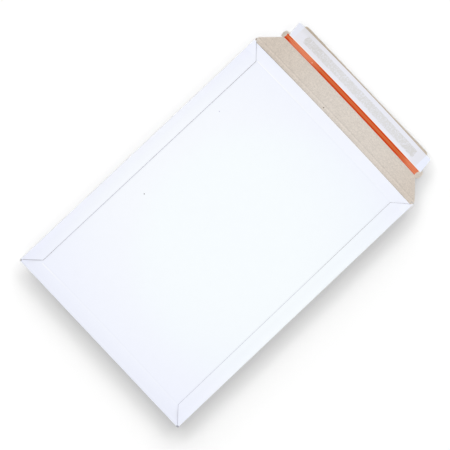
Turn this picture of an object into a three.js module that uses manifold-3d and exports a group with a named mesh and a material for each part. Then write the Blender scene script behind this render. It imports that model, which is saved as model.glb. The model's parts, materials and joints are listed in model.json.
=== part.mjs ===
// Board envelope for A4 papers, lying on its address side with the closing flap open.
// Millimetres, +Z up. X runs across the envelope and Y from the bottom fold towards the flap's free edge.
// The origin is on the ground under the middle of the opened envelope.
import * as THREE from "three";
import { mergeVertices } from "three/addons/utils/BufferGeometryUtils.js";
import Module from "manifold-3d";

// Board and its folds
const boardThickness = 0.5;
const foldRadius = 1; // inside of the side folds and of the bottom fold
const creaseSlit = 0.3; // gap that stands for a scored crease
const glueBond = 0.05; // depth to which a glue flap is bonded into the cover

// Pocket
const pocketWidth = 234;
const pocketDepth = 329.2; // bottom fold to the cover's mouth edge
const pocketGap = 4.2; // clear height between base and cover
const sideRun = 9.5; // side of the pocket to the crest of the cover
const bottomRun = 16.4; // bottom fold to the crest of the cover
const glueFlapWidth = 16.7;
const mouthScoreInset = 13.5; // mouth edge to the pressed line along it
const scoreWidth = 1.2;
const scoreDepth = 0.12;

// Creases of the closing flap
const mouthToCrease = 0.6; // mouth edge to the first crease
const tipReach = 1.5; // how far the side folds run on past the first crease
const tipWidth = 2.8; // width of those tips beside the spine
const closedClearance = 0.3; // closed flap to the top of the glue flaps

// Closing flap
const shoulderDrop = 15.9; // second crease to the shoulders
const shoulderInset = 17.9; // side of the pocket to a shoulder
const earReach = 2.9; // shoulder to the outer edge of an ear
const earRise = 1; // slant of an ear's lower edge
const earLength = 9.8; // shoulders to the upper end of the ears
const earRadius = 1.6;
const sealLength = 17.05; // ears to the flap's free edge
const sealInset = 26.5; // side of the pocket to the side of the sealing part
const sealRadius = 2.5;
const innerRadius = 0.8; // inside corners of the flap's outline

// Tear tape, release liner and the glue line under it
const tapeWidth = 5.3;
const tapeThickness = 0.1;
const earMargin = 5.3; // outer edge of an ear to the end of the tape
const tapeToLiner = 0.6;
const linerWidth = 16.5;
const linerThickness = 0.1;
const linerPastTape = 0.5; // end of the tape to the end of the liner
const glueLineWidth = 8.5;
const glueLineInset = 16.2; // end of the liner to the end of the glue line
const glueLineThickness = 0.1;

// Shares of a half turn that an arc is drawn with, and how far a cutter passes what it cuts
const arcSteps = 8;
const overcut = 1;

// Heights
const baseTop = boardThickness;
const coverUnderside = baseTop + pocketGap;
const coverTop = coverUnderside + boardThickness;
const glueUnderside = coverTop - glueBond;
const foldCentreZ = baseTop + foldRadius;

// Places across the envelope
const halfWidth = pocketWidth / 2;
const foldCentreX = halfWidth - boardThickness - foldRadius;
const sideCrestX = halfWidth - sideRun;
const glueEdgeX = halfWidth - glueFlapWidth;
const spineHalf = halfWidth - tipWidth - creaseSlit;
const shoulderX = halfWidth - shoulderInset;
const earX = shoulderX + earReach;
const sealX = halfWidth - sealInset;
const tapeHalf = earX - earMargin;
const linerHalf = tapeHalf + linerPastTape;
const glueLineHalf = linerHalf - glueLineInset;

// Places along the envelope, from the bottom fold
const foldCentreY = boardThickness + foldRadius;
const firstCreaseY = pocketDepth + mouthToCrease;
const tipY = firstCreaseY + tipReach;
const spineHeight = glueUnderside + boardThickness + closedClearance - baseTop;
const secondCreaseY = firstCreaseY + spineHeight;
const shoulderY = secondCreaseY + shoulderDrop;
const earEndY = shoulderY + earLength;
const freeEdgeY = earEndY + sealLength;
const tapeY = shoulderY + earLength / 2;
const linerY = tapeY + tapeWidth / 2 + tapeToLiner + linerWidth / 2;

const wasm = await Module();
wasm.setup();

/** A closed three.js geometry as a solid that can be joined and cut. */
function toSolid(geometry) {
  geometry.deleteAttribute("normal");
  geometry.deleteAttribute("uv");
  const merged = mergeVertices(geometry);
  return new wasm.Manifold(
    new wasm.Mesh({
      numProp: 3,
      vertProperties: Float32Array.from(merged.attributes.position.array),
      triVerts: Uint32Array.from(merged.index.array),
    }),
  );
}

/** A joined or cut solid as a three.js geometry. */
function toGeometry(solid) {
  const { vertProperties, triVerts } = solid.getMesh();
  const geometry = new THREE.BufferGeometry();
  geometry.setAttribute("position", new THREE.BufferAttribute(vertProperties, 3));
  geometry.setIndex(new THREE.BufferAttribute(triVerts, 1));
  return geometry;
}

const alongX = new THREE.Vector3(1, 0, 0);
const alongY = new THREE.Vector3(0, 1, 0);
const alongZ = new THREE.Vector3(0, 0, 1);

function extrude(shape, depth) {
  return new THREE.ExtrudeGeometry(shape, { depth, bevelEnabled: false, curveSegments: arcSteps });
}

/** Prism of an outline in Y and Z, reaching equally far to both sides of the middle. */
function crossPrism(outline, half) {
  const geometry = extrude(new THREE.Shape(outline), 2 * half);
  geometry.applyMatrix4(new THREE.Matrix4().makeBasis(alongY, alongZ, alongX));
  return geometry.translate(-half, 0, 0);
}

/** Prism of an outline in X and Z, from one place along Y to another. */
function lengthPrism(outline, fromY, toY) {
  const geometry = extrude(new THREE.Shape(outline), toY - fromY);
  geometry.applyMatrix4(new THREE.Matrix4().makeBasis(alongX, alongZ, alongY.clone().negate()));
  return geometry.translate(0, toY, 0);
}

/** Plate of an outline in X and Y, from one height to another. */
function plate(shape, fromZ, toZ) {
  return extrude(shape, toZ - fromZ).translate(0, 0, fromZ);
}

function point(x, y) {
  return new THREE.Vector2(x, y);
}

function mirrored(points) {
  return points.map(({ x, y }) => point(-x, y)).reverse();
}

/** Angle of a panel that leaves a fold of this radius and rises to a crest, both measured from the fold's centre. */
function riseAngle(run, rise, radius) {
  return Math.acos(radius / Math.hypot(run, rise)) - Math.atan2(run, rise);
}

/** Arc round a fold, from straight below its centre to where the rising panel leaves it, bulging towards +x. */
function foldArc(centre, radius, angle) {
  const sweep = Math.PI - angle;
  return Array.from({ length: arcSteps + 1 }, (_, step) => {
    const turn = (sweep * step) / arcSteps - Math.PI / 2;
    return point(centre.x + radius * Math.cos(turn), centre.y + radius * Math.sin(turn));
  });
}

const sideAngle = riseAngle(foldCentreX - sideCrestX, glueUnderside - foldCentreZ, foldRadius);
const bottomAngle = riseAngle(bottomRun - foldCentreY, coverUnderside - foldCentreZ, foldRadius);

/** Crest of the pocket's side, at a height over the inside of the glue flaps. */
function sideCrest(offset) {
  return point(sideCrestX + offset * Math.tan(sideAngle / 2), glueUnderside + offset);
}

/** Half of the base's section with its side fold and glue flap, at a distance outside its inner face. */
function wrapContour(offset) {
  const arc = foldArc(point(foldCentreX, foldCentreZ), foldRadius + offset, sideAngle);
  return [...arc, sideCrest(offset), point(glueEdgeX, glueUnderside + offset)];
}

/** Base of the pocket with its side folds and the glue flaps, whose ends are cut off at 45 degrees. */
function makeWrap() {
  const outer = wrapContour(boardThickness);
  const inner = wrapContour(0);
  const section = [...outer, ...inner.toReversed(), ...mirrored(inner).toReversed(), ...mirrored(outer)];
  let wrap = toSolid(lengthPrism(section, foldCentreY, tipY));
  const inset = glueFlapWidth + overcut;
  const farX = halfWidth + overcut;
  const nearX = halfWidth - inset;
  for (const [endY, inwards] of [[tipY, -1], [foldCentreY, 1]]) {
    for (const side of [1, -1]) {
      const corner = new THREE.Shape([
        point(side * farX, endY - inwards * overcut),
        point(side * nearX, endY + inwards * inset),
        point(side * nearX, endY - inwards * overcut),
      ]);
      wrap = wrap.subtract(toSolid(plate(corner, foldCentreZ, coverTop + boardThickness + overcut)));
    }
  }
  const creaseEdge = firstCreaseY - creaseSlit / 2;
  const notchHalf = spineHalf + creaseSlit;
  const notch = new THREE.BoxGeometry(2 * notchHalf, tipY + overcut - creaseEdge, baseTop + 2 * overcut);
  notch.translate(0, (creaseEdge + tipY + overcut) / 2, baseTop / 2);
  return wrap.subtract(toSolid(notch));
}

/** Block under the cover's outer face (offset of one thickness) or under its inner face (offset 0). */
function coverBlock(offset, reach) {
  const arc = foldArc(point(-foldCentreY, foldCentreZ), foldRadius + offset, bottomAngle);
  const along = [
    ...arc.map(({ x, y }) => point(-x, y)),
    point(bottomRun - offset * Math.tan(bottomAngle / 2), coverUnderside + offset),
    point(pocketDepth + reach, coverUnderside + offset),
    point(pocketDepth + reach, baseTop - offset),
  ];
  const crest = sideCrest(glueBond - boardThickness + offset);
  const edgeX = foldCentreX + reach;
  const edgeZ = crest.y - (edgeX - crest.x) * Math.tan(sideAngle);
  const half = [point(edgeX, -overcut), point(edgeX, edgeZ), crest];
  const across = [...half, ...mirrored(half)];
  const alongSolid = toSolid(crossPrism(along.toReversed(), halfWidth));
  return alongSolid.intersect(toSolid(lengthPrism(across, -overcut, pocketDepth + 2 * overcut)));
}

/** Pressed line across the cover along its mouth, as a cutter. */
function makeScore() {
  const scoreY = pocketDepth - mouthScoreInset;
  const section = [
    point(scoreY - scoreWidth / 2, coverTop),
    point(scoreY, coverTop - scoreDepth),
    point(scoreY + scoreWidth / 2, coverTop),
    point(scoreY + scoreWidth / 2, coverTop + boardThickness / 2),
    point(scoreY - scoreWidth / 2, coverTop + boardThickness / 2),
  ];
  return toSolid(crossPrism(section, glueEdgeX));
}

/** The pocket: base, bottom fold and cover in one sheet, with the glue flaps bonded on the cover. */
function makePocket() {
  const cover = coverBlock(boardThickness, 0).subtract(coverBlock(0, overcut));
  const folded = cover.subtract(makeScore()).add(makeWrap());
  return toGeometry(folded);
}

/** Narrow strip between the two creases, which stands up beside the mouth when the flap is closed. */
function makeSpine() {
  const strip = new THREE.BoxGeometry(2 * spineHalf, spineHeight - creaseSlit, boardThickness);
  return strip.translate(0, (firstCreaseY + secondCreaseY) / 2, boardThickness / 2);
}

/** Outline through corners that are each rounded with their own radius. */
function roundedOutline(corners) {
  const shape = new THREE.Shape();
  corners.forEach(({ at, radius }, index) => {
    const before = corners.at(index - 1).at;
    const after = corners[(index + 1) % corners.length].at;
    const inwards = at.clone().sub(before).normalize();
    const outwards = after.clone().sub(at).normalize();
    const turn = Math.acos(THREE.MathUtils.clamp(inwards.dot(outwards), -1, 1));
    const setback = radius * Math.tan(turn / 2);
    const start = at.clone().addScaledVector(inwards, -setback);
    const end = at.clone().addScaledVector(outwards, setback);
    if (index === 0) {
      shape.moveTo(start.x, start.y);
    } else {
      shape.lineTo(start.x, start.y);
    }
    if (radius > 0) {
      shape.quadraticCurveTo(at.x, at.y, end.x, end.y);
    }
  });
  return shape;
}

/** Closing flap: 45 degree sides up to the shoulders, an ear at each end of the tape, and the sealing part. */
function makeFlap() {
  const half = [
    { at: point(spineHalf, secondCreaseY + creaseSlit / 2), radius: 0 },
    { at: point(shoulderX, shoulderY), radius: innerRadius },
    { at: point(earX, shoulderY + earRise), radius: earRadius },
    { at: point(earX, earEndY), radius: earRadius },
    { at: point(sealX, earEndY), radius: innerRadius },
    { at: point(sealX, freeEdgeY), radius: sealRadius },
  ];
  const otherHalf = half.map(({ at, radius }) => ({ at: point(-at.x, at.y), radius })).reverse();
  return plate(roundedOutline([...half, ...otherHalf]), 0, boardThickness);
}

/** Flat strip across the flap, centred on the envelope, with its ends cut back at the corners. */
function makeStrip(x, width, centreY, fromZ, thickness) {
  const y = width / 2;
  const chamfer = width / 8;
  const half = [point(x - chamfer, -y), point(x, chamfer - y), point(x, y - chamfer), point(x - chamfer, y)];
  return plate(new THREE.Shape([...half, ...mirrored(half)]), fromZ, fromZ + thickness).translate(0, centreY, 0);
}

const whiteBoard = new THREE.MeshStandardMaterial({ color: 0xf2f6fd, roughness: 0.55, metalness: 0 });
const greyBoard = new THREE.MeshStandardMaterial({ color: 0xd7cbbd, roughness: 0.9, metalness: 0 });
const orangeFilm = new THREE.MeshStandardMaterial({ color: 0xd25a22, roughness: 0.35, metalness: 0 });
const clearGlue = new THREE.MeshStandardMaterial({ color: 0xdddcd8, roughness: 0.4, metalness: 0 });
const linerPaper = new THREE.MeshStandardMaterial({ color: 0xe9ebf3, roughness: 0.5, metalness: 0 });

const envelope = new THREE.Group();
envelope.position.y = -freeEdgeY / 2;

function addPiece(name, geometry, material) {
  const piece = new THREE.Mesh(geometry, material);
  piece.name = name;
  envelope.add(piece);
}

const linerZ = baseTop + glueLineThickness;
addPiece("pocket_board", makePocket(), whiteBoard);
addPiece("flap_spine", makeSpine(), greyBoard);
addPiece("closing_flap", makeFlap(), greyBoard);
addPiece("tear_tape", makeStrip(tapeHalf, tapeWidth, tapeY, baseTop, tapeThickness), orangeFilm);
addPiece("adhesive_strip", makeStrip(glueLineHalf, glueLineWidth, linerY, baseTop, glueLineThickness), clearGlue);
addPiece("release_liner", makeStrip(linerHalf, linerWidth, linerY, linerZ, linerThickness), linerPaper);

export default envelope;
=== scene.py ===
"""Board envelope for A4 papers, lying on its address side with the closing flap open.

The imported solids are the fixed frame. Each piece is modelled here in millimetres, in the frame's own axes,
and scaled to metres when it is finished: one folded sheet for the pocket, two creased strips and the flap in
one line with it, and the tear tape, the glue line and the release liner on the flap.
"""

from __future__ import annotations

import json
import logging
import math
from dataclasses import dataclass
from enum import Enum
from typing import Any, Callable, Sequence

import bmesh
import bpy
from mathutils import Matrix, Vector

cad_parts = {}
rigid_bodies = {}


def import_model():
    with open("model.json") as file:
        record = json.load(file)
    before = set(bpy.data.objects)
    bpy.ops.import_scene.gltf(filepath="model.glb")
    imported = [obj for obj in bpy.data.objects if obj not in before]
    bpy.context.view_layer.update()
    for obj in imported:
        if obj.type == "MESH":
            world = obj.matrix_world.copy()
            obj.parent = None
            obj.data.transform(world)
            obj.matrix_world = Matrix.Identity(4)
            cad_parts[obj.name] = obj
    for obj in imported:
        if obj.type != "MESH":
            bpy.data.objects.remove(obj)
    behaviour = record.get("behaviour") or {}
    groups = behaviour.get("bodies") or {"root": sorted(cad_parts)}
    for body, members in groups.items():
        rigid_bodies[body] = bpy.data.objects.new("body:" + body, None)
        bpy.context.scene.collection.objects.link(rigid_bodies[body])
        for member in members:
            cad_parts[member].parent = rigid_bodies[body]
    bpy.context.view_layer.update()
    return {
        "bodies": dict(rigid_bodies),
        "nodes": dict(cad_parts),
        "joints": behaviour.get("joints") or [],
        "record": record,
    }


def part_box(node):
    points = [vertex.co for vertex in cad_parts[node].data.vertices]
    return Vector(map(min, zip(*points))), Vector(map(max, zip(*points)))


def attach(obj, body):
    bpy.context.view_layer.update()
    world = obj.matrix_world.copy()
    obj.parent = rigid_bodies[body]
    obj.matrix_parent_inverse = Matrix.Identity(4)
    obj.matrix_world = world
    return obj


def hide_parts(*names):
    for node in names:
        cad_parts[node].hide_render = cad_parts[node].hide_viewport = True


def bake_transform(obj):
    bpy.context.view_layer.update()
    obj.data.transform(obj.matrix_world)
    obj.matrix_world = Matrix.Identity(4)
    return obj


LOG = logging.getLogger("envelope")
MM = 0.001
NEAR = 0.01
CUT_NEAR = 0.0001
FLAT_BELOW = math.radians(0.1)
SMOOTH_BELOW = math.radians(35)

Test = Callable[[Vector], bool]
Triple = Sequence[float]
Layers = Sequence[bpy.types.Material]
Span = tuple[float, float]
Colour = tuple[float, float, float, float]

BLACK: Colour = (0.0, 0.0, 0.0, 1.0)
WHITE: Colour = (1.0, 1.0, 1.0, 1.0)
GLUE_ENDS: Span = (-81.2, 80.8)


class Side(Enum):
    """The two long sides of the envelope, by the sign of their X."""

    LEFT = -1
    RIGHT = 1


class Pick(Enum):
    """What a selection in edit mode is made of."""

    VERTS = "VERT"
    EDGES = "EDGE"
    FACES = "FACE"


class Layer(Enum):
    """Material slots of a board piece, by the face of the board."""

    OUTSIDE = 0
    INSIDE = 1
    CUT = 2


def linear(red: float, green: float, blue: float) -> Colour:
    """Turns a colour of 0 to 255 steps, as a screen shows it, into the linear one that a shader takes.

    Args:
        red: Red step.
        green: Green step.
        blue: Blue step.

    Returns:
        The linear colour with an alpha of 1.
    """
    steps = [step / 255 for step in (red, green, blue)]
    parts = [s / 12.92 if s <= 0.04045 else ((s + 0.055) / 1.055) ** 2.4 for s in steps]
    return (parts[0], parts[1], parts[2], 1.0)


def at(x: float | None = None, y: float | None = None, z: float | None = None) -> Test:
    """Makes a test for points at a place along one or more axes.

    Args:
        x: Place along X, or None for any.
        y: Place along Y, or None for any.
        z: Place along Z, or None for any.

    Returns:
        The test, which is true within a hundredth of a millimetre.
    """
    wanted = [(axis, place) for axis, place in enumerate((x, y, z)) if place is not None]
    return lambda point: all(abs(point[axis] - place) < NEAR for axis, place in wanted)


class Bench:
    """One mesh under work in edit mode, in millimetres, with everything picked by its place."""

    def __init__(self, name: str, low: Triple, high: Triple, layers: Layers) -> None:
        """Adds a level plane between two corners and opens it in edit mode.

        Args:
            name: Name of the piece.
            low: Lowest corner.
            high: Highest corner, at the same height.
            layers: Materials by slot.
        """
        bpy.ops.object.select_all(action="DESELECT")
        bpy.ops.mesh.primitive_plane_add(size=1.0, location=(0, 0, 0))
        self.obj: bpy.types.Object = bpy.context.active_object
        self.obj.name = name
        self.obj.data.name = name
        for material in layers:
            self.obj.data.materials.append(material)
        bpy.ops.object.mode_set(mode="EDIT")
        self.pick_all()
        self.squeeze((high[0] - low[0], high[1] - low[1], 1))
        self.move([(a + b) / 2 for a, b in zip(low, high)])

    def _select(self, kind: Pick, wanted: Callable[[Any], bool]) -> None:
        """Selects the wanted elements of one kind, and nothing else.

        Args:
            kind: What to select.
            wanted: Test of an element.
        """
        bpy.ops.mesh.select_mode(type=kind.value)
        bpy.ops.mesh.select_all(action="DESELECT")
        mesh = bmesh.from_edit_mesh(self.obj.data)
        for element in {Pick.VERTS: mesh.verts, Pick.EDGES: mesh.edges, Pick.FACES: mesh.faces}[kind]:
            if wanted(element):
                element.select_set(True)
        mesh.select_flush_mode()
        bmesh.update_edit_mesh(self.obj.data)

    def pick(self, where: Test, kind: Pick = Pick.VERTS, border: bool = False) -> None:
        """Selects the elements whose points all pass a test, and nothing else.

        Args:
            where: Test of a point.
            kind: What to select.
            border: Whether only open edges count.
        """

        def wanted(element: Any) -> bool:
            """Whether all points of an element pass."""
            points = [element] if kind is Pick.VERTS else element.verts
            return all(where(point.co) for point in points) and (not border or element.is_boundary)

        self._select(kind, wanted)

    def pick_rim(self, where: Test) -> None:
        """Goes to edit mode and selects the edges where the board's outside meets its cut edge.

        Args:
            where: Test that both points of an edge have to pass.
        """
        bpy.ops.object.mode_set(mode="EDIT")
        rim = {Layer.OUTSIDE.value, Layer.CUT.value}

        def wanted(edge: bmesh.types.BMEdge) -> bool:
            """Whether an edge of the rim passes."""
            layers = {face.material_index for face in edge.link_faces}
            return layers == rim and all(where(point.co) for point in edge.verts)

        self._select(Pick.EDGES, wanted)

    def pick_all(self) -> None:
        """Selects the whole mesh."""
        bpy.ops.mesh.select_all(action="SELECT")

    def extrude(self, shift: Triple) -> None:
        """Extrudes the picked edges by a shift, and leaves the new edges picked."""
        bpy.ops.mesh.extrude_edges_move(TRANSFORM_OT_translate={"value": tuple(shift)})

    def move(self, shift: Triple) -> None:
        """Moves what is picked by a shift."""
        bpy.ops.transform.translate(value=tuple(shift))

    def squeeze(self, factors: Triple, centre: Triple = (0, 0, 0)) -> None:
        """Scales what is picked about a centre."""
        bpy.ops.transform.resize(value=tuple(factors), center_override=tuple(centre))

    def spin(self, degrees: float, centre: Triple, axis: Triple, steps: int) -> None:
        """Turns the picked edges round an axis into a curved strip.

        Args:
            degrees: Angle of the turn, clockwise as seen along the axis.
            centre: A point on the axis.
            axis: Direction of the axis.
            steps: Number of strips in the curve.
        """
        bpy.ops.mesh.spin(
            steps=steps, angle=math.radians(degrees), center=tuple(centre), axis=tuple(axis), dupli=False
        )

    def bisect(self, point: Triple, normal: Triple, drop_behind: bool = False) -> None:
        """Cuts what is picked along a plane.

        Args:
            point: A point on the plane.
            normal: The plane's normal.
            drop_behind: Whether what lies behind the plane is deleted.
        """
        bpy.ops.mesh.bisect(
            plane_co=tuple(point), plane_no=tuple(normal), clear_inner=drop_behind, threshold=CUT_NEAR
        )

    def bisect_all(self, point: Triple, normal: Triple) -> None:
        """Cuts the whole mesh along a plane."""
        self.pick_all()
        self.bisect(point, normal)

    def connect(self) -> None:
        """Splits the faces between the picked points."""
        bpy.ops.mesh.vert_connect()

    def bevel(self, offset: float, segments: int, points: bool = False, layer: Layer | None = None) -> None:
        """Bevels the picked edges or corner points.

        Args:
            offset: Width of the bevel.
            segments: Number of faces or edges across it.
            points: Whether corner points are rounded instead of edges.
            layer: Material slot of the new faces, or None to keep the neighbours'.
        """
        bpy.ops.mesh.bevel(
            offset=offset,
            segments=segments,
            affect="VERTICES" if points else "EDGES",
            clamp_overlap=False,
            material=-1 if layer is None else layer.value,
        )

    def dissolve(self) -> None:
        """Merges all flat neighbouring faces into one."""
        self.pick_all()
        bpy.ops.mesh.dissolve_limited(angle_limit=FLAT_BELOW)

    def face_outwards(self) -> None:
        """Turns all faces to the outside."""
        self.pick_all()
        bpy.ops.mesh.normals_make_consistent(inside=False)

    def flip(self) -> None:
        """Turns all faces over."""
        self.pick_all()
        bpy.ops.mesh.flip_normals()

    def modifier(self, kind: str, **settings: Any) -> None:
        """Goes to object mode, adds a modifier with its settings and applies it.

        Args:
            kind: Blender's name of the modifier's type.
            **settings: Its settings.
        """
        bpy.ops.object.mode_set(mode="OBJECT")
        made = self.obj.modifiers.new(kind.lower(), kind)
        for name, value in settings.items():
            setattr(made, name, value)
        bpy.ops.object.modifier_apply(modifier=made.name)

    def thicken(self, board: float) -> None:
        """Gives the sheet its thickness, with its own material slots inside and on the cut edges.

        Args:
            board: Thickness, which grows behind the modelled face.
        """
        self.modifier(
            "SOLIDIFY",
            thickness=board,
            offset=-1.0,
            use_even_offset=True,
            use_quality_normals=True,
            material_offset=Layer.INSIDE.value,
            material_offset_rim=Layer.CUT.value,
        )

    def finish(self) -> bpy.types.Object:
        """Scales the mesh to metres, splits its many-cornered faces and smooths it.

        Returns:
            The finished piece.
        """
        bpy.ops.object.mode_set(mode="EDIT")
        self.pick_all()
        self.squeeze((MM, MM, MM))
        self.modifier("TRIANGULATE", ngon_method="BEAUTY", min_vertices=5)
        bpy.ops.object.shade_smooth_by_angle(angle=SMOOTH_BELOW)
        self.modifier("WEIGHTED_NORMAL", keep_sharp=True, weight=100)
        LOG.info("%s: %d faces", self.obj.name, len(self.obj.data.polygons))
        return self.obj


class Wire:
    """A value's socket, so that shader maths is written as Python expressions."""

    def __init__(self, nodes: Nodes, socket: bpy.types.NodeSocket) -> None:
        """Wraps a socket of a node."""
        self.nodes = nodes
        self.socket = socket

    def _maths(self, operation: str, first: Wire | float, second: Wire | float) -> Wire:
        """Adds one Math node."""
        return self.nodes.node("ShaderNodeMath", {"operation": operation}, {0: first, 1: second})

    def __add__(self, other: Wire | float) -> Wire:
        """Sum of two values."""
        return self._maths("ADD", self, other)

    def __sub__(self, other: Wire | float) -> Wire:
        """Difference of two values."""
        return self._maths("SUBTRACT", self, other)

    def __rsub__(self, other: float) -> Wire:
        """Difference of a number and a value."""
        return self._maths("SUBTRACT", other, self)

    def __mul__(self, other: Wire | float) -> Wire:
        """Product of two values."""
        return self._maths("MULTIPLY", self, other)

    def __truediv__(self, other: Wire | float) -> Wire:
        """Quotient of two values."""
        return self._maths("DIVIDE", self, other)

    def __pow__(self, other: float) -> Wire:
        """Power of a value."""
        return self._maths("POWER", self, other)

    def __abs__(self) -> Wire:
        """Size of a value without its sign."""
        return self._maths("ABSOLUTE", self, 0.0)

    __radd__ = __add__
    __rmul__ = __mul__

    def sway(self, amount: float) -> Wire:
        """Swing round zero of a value that lies round one half."""
        return (self - 0.5) * amount

    def rise(self, start: float, end: float) -> Wire:
        """Smooth step from 0 at start to 1 at end."""
        return self.nodes.node(
            "ShaderNodeMapRange",
            {"interpolation_type": "SMOOTHSTEP", "clamp": True},
            {"Value": self, "From Min": start, "From Max": end, "To Min": 0.0, "To Max": 1.0},
        )

    def fall(self, start: float, end: float) -> Wire:
        """Smooth step from 1 at start to 0 at end."""
        return 1 - self.rise(start, end)

    def band(self, centre: float, half: float, soft: float) -> Wire:
        """Stripe of 1 round a centre, with soft edges.

        Args:
            centre: Middle of the stripe.
            half: Half of its full width.
            soft: Width over which each edge fades out.

        Returns:
            The mask.
        """
        return abs(self - centre).fall(half, half + soft)

    def within(self, ends: Span, soft: float) -> Wire:
        """Mask of 1 between two ends.

        Args:
            ends: Lower and upper end.
            soft: Half of the width over which each end fades out.

        Returns:
            The mask.
        """
        low, high = ends
        return self.rise(low - soft, low + soft) * self.fall(high - soft, high + soft)


Value = Wire | float | Sequence[float]


@dataclass(frozen=True)
class Fade:
    """Smooth change between two places along a value, which reaches a share of the full change."""

    start: float
    end: float
    share: float = 1.0

    def _scaled(self, step: Wire) -> Wire:
        """Share of a full step."""
        return step if self.share == 1.0 else step * self.share

    def rise(self, value: Wire, origin: float = 0.0) -> Wire:
        """Step from 0 up to the share, with its places counted from an origin."""
        return self._scaled(value.rise(origin + self.start, origin + self.end))

    def fall(self, value: Wire, origin: float = 0.0) -> Wire:
        """Step from the share down to 0, with its places counted from an origin."""
        return self._scaled(value.fall(origin + self.start, origin + self.end))


@dataclass(frozen=True)
class Grain:
    """Cloudy pattern: clouds in a millimetre, octaves and weight of finer ones, and closeness by axis."""

    per_mm: float
    detail: float = 2.0
    roughness: float = 0.5
    stretch: tuple[float, float, float] = (1.0, 1.0, 1.0)


@dataclass(frozen=True)
class Speck:
    """Small round spot, used for marks, painted shadows and a painted glint: its tone, place and radius, its
    full core, and the height from which it comes up.
    """

    tone: Colour
    x: float
    y: float
    radius: float
    lowest: float | None = None
    core: float = 0.3
    climb: float = 1.0

    def mask(self, shader: Shader) -> Wire:
        """Mask that fades out from the spot's core to its radius.

        Args:
            shader: The shader that needs it.

        Returns:
            The mask.
        """
        distance = ((shader.x - self.x) ** 2 + (shader.y - self.y) ** 2) ** 0.5
        mask = distance.fall(self.radius * self.core, self.radius)
        if self.lowest is not None:
            mask = mask * shader.z.rise(self.lowest, self.lowest + self.climb)
        return mask


class Nodes:
    """One node tree under work."""

    def __init__(self, tree: bpy.types.NodeTree) -> None:
        """Starts with an empty tree."""
        self.tree = tree
        self.tree.nodes.clear()

    def node(
        self,
        kind: str,
        settings: dict[str, Any] | None = None,
        inputs: dict[str | int, Value] | None = None,
        output: str | int = 0,
    ) -> Wire:
        """Adds a node, sets it up and feeds it.

        Args:
            kind: Blender's name of the node's type.
            settings: Its own settings, which are set first.
            inputs: Values or wires of its sockets.
            output: Socket to hand on.

        Returns:
            The wrapped output socket.
        """
        made = self.tree.nodes.new(kind)
        for name, value in (settings or {}).items():
            setattr(made, name, value)
        for name, value in (inputs or {}).items():
            if isinstance(value, Wire):
                self.tree.links.new(value.socket, made.inputs[name])
            else:
                made.inputs[name].default_value = value
        return Wire(self, made.outputs[output] if len(made.outputs) else made.inputs[0])

    def seen(self) -> Wire:
        """Finds the rays that show the background: those of the camera, of mirrors and of glass.

        Returns:
            The mask.
        """
        rays = ("Is Camera Ray", "Is Glossy Ray", "Is Transmission Ray")
        camera, glossy, through = (self.node("ShaderNodeLightPath", output=ray) for ray in rays)
        return camera + glossy + through


class Shader(Nodes):
    """One material under work, with the nodes that its finish needs."""

    def __init__(self, name: str) -> None:
        """Starts an empty material and reads the place on the piece, in millimetres.

        Args:
            name: Name of the material.
        """
        self.material = bpy.data.materials.new(name)
        self.material.use_nodes = True
        super().__init__(self.material.node_tree)
        self.place = self.node("ShaderNodeTexCoord", output="Object")
        parts = self.node("ShaderNodeSeparateXYZ", {}, {"Vector": self.place}).socket.node
        self.x, self.y, self.z = (Wire(self, parts.outputs[axis]) * (1 / MM) for axis in "XYZ")

    def noise(self, grain: Grain) -> Wire:
        """Cloudy pattern fixed to the piece.

        Args:
            grain: What the clouds are like.

        Returns:
            A value round one half.
        """
        scaled = self.node(
            "ShaderNodeMapping", {"vector_type": "POINT"}, {"Vector": self.place, "Scale": grain.stretch}
        )
        clouds = {"Scale": grain.per_mm / MM, "Detail": grain.detail, "Roughness": grain.roughness}
        return self.node("ShaderNodeTexNoise", {"noise_dimensions": "3D"}, {"Vector": scaled, **clouds})

    def mix(self, first: Value, second: Value, share: Wire | float) -> Wire:
        """Blends two colours by a share of the second."""
        return self.node("ShaderNodeMix", {"data_type": "RGBA"}, {0: share, 6: first, 7: second}, output=2)

    def mark(self, colour: Value, speck: Speck) -> Wire:
        """Paints a round spot on a colour."""
        return self.mix(colour, speck.tone, speck.mask(self))

    def dim(self, colour: Value, factor: Wire) -> Wire:
        """Scales a colour by a value."""
        plain = colour if isinstance(colour, Wire) else tuple(colour)[:3]
        return self.node("ShaderNodeVectorMath", {"operation": "SCALE"}, {0: plain, "Scale": factor})

    def bump(self, height: Wire, depth: float) -> Wire:
        """Fine relief of a height from 0 to 1.

        Args:
            height: The relief.
            depth: Depth of the relief in millimetres.

        Returns:
            The normal.
        """
        return self.node(
            "ShaderNodeBump", {}, {"Height": height, "Distance": depth * MM, "Strength": 1.0}, output="Normal"
        )

    def done(self, colour: Value, **sockets: Value) -> bpy.types.Material:
        """Feeds the surface shader and ends the material.

        Args:
            colour: Base colour.
            **sockets: Other sockets of the shader, with _ for a space.

        Returns:
            The finished material.
        """
        inputs: dict[str | int, Value] = {"Base Color": colour}
        inputs.update({name.replace("_", " "): value for name, value in sockets.items()})
        surface = self.node("ShaderNodeBsdfPrincipled", {}, inputs)
        self.node("ShaderNodeOutputMaterial", {}, {"Surface": surface})
        return self.material


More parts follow.
